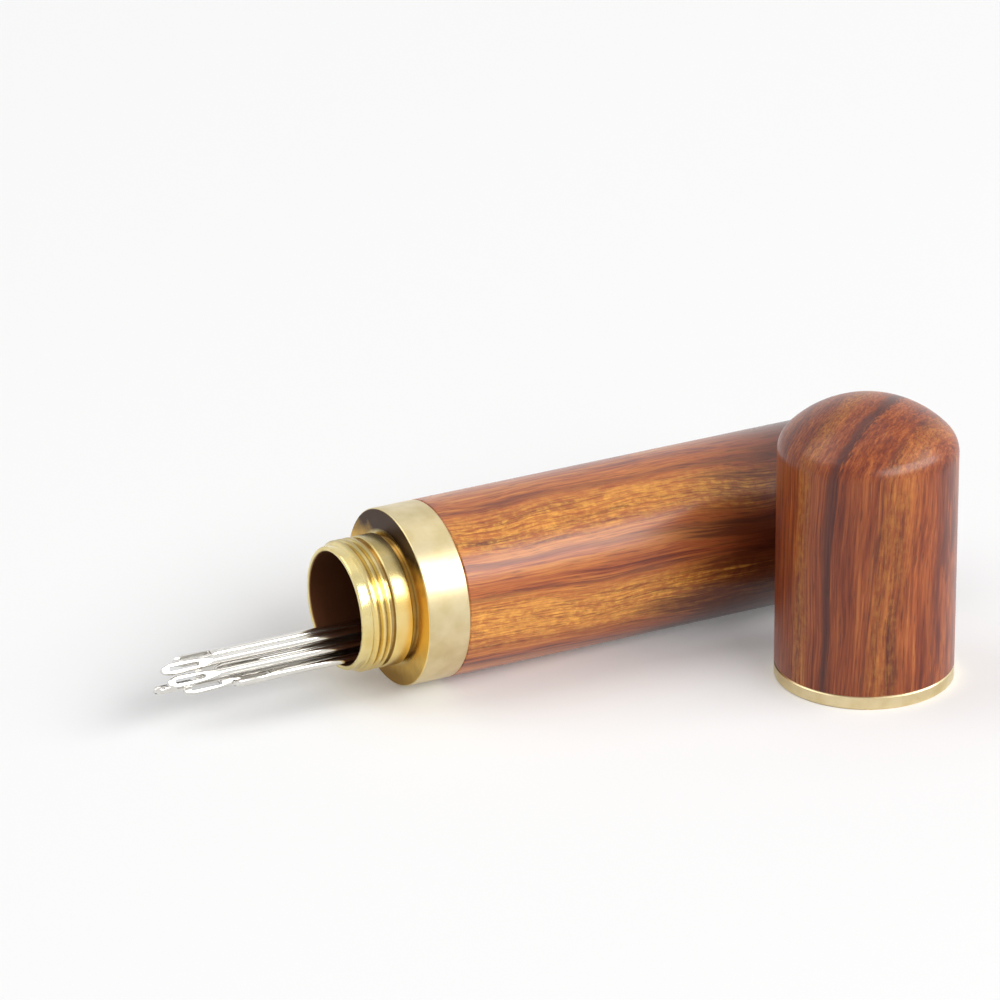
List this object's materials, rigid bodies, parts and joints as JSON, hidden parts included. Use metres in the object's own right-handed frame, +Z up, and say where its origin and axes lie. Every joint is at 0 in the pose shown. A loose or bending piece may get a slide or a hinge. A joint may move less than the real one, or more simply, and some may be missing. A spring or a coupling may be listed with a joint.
{
  "type": "needle case",
  "caption": "Turned wooden needle tube with a brass screw neck, its domed screw cap standing beside it and long-eyed sewing needles sliding out of the mouth.",
  "frame": {"origin": "bottom centre of the open case and its standing cap, on the surface that they rest on", "axes": "+X along the barrel from the mouth to the closed end, +Y from the cap towards the barrel, +Z up"},
  "size_m": [0.0792, 0.0384, 0.0294],
  "materials": {
    "rosewood": "turned and oiled rosewood, satin",
    "brass": "turned brass, satin outside and polished on the neck",
    "needle_steel": "nickel-plated steel, polished"
  },
  "bodies": {
    "barrel": {"barrel_wood": "rosewood", "threaded_neck": "brass"},
    "cap": {"cap_wood": "rosewood", "cap_insert": "brass"},
    "needle_1": {"needle_1": "needle_steel"},
    "needle_2": {"needle_2": "needle_steel"},
    "needle_3": {"needle_3": "needle_steel"},
    "needle_4": {"needle_4": "needle_steel"},
    "needle_5": {"needle_5": "needle_steel"},
    "needle_6": {"needle_6": "needle_steel"},
    "needle_7": {"needle_7": "needle_steel"},
    "needle_8": {"needle_8": "needle_steel"},
    "needle_9": {"needle_9": "needle_steel"}
  },
  "joints": [
    {"name": "cap_lift", "type": "slide", "parent": "barrel", "child": "cap", "axis": [0, 0, 1], "range_m": [0, 0.05]},
    {"name": "needle_1_slide", "type": "slide", "parent": "barrel", "child": "needle_1", "axis": [-1, 0, 0], "range_m": [-0.0168, 0.0398]},
    {"name": "needle_2_slide", "type": "slide", "parent": "barrel", "child": "needle_2", "axis": [-1, 0, 0], "range_m": [-0.0216, 0.035]},
    {"name": "needle_3_slide", "type": "slide", "parent": "barrel", "child": "needle_3", "axis": [-1, 0, 0], "range_m": [-0.0202, 0.0364]},
    {"name": "needle_4_slide", "type": "slide", "parent": "barrel", "child": "needle_4", "axis": [-1, 0, 0], "range_m": [-0.0232, 0.0334]},
    {"name": "needle_5_slide", "type": "slide", "parent": "barrel", "child": "needle_5", "axis": [-1, 0, 0], "range_m": [-0.0196, 0.037]},
    {"name": "needle_6_slide", "type": "slide", "parent": "barrel", "child": "needle_6", "axis": [-1, 0, 0], "range_m": [-0.018, 0.0386]},
    {"name": "needle_7_slide", "type": "slide", "parent": "barrel", "child": "needle_7", "axis": [-1, 0, 0], "range_m": [-0.0194, 0.0372]},
    {"name": "needle_8_slide", "type": "slide", "parent": "barrel", "child": "needle_8", "axis": [-1, 0, 0], "range_m": [-0.024, 0.0326]},
    {"name": "needle_9_slide", "type": "slide", "parent": "barrel", "child": "needle_9", "axis": [-1, 0, 0], "range_m": [-0.0181, 0.0385]}
  ]
}
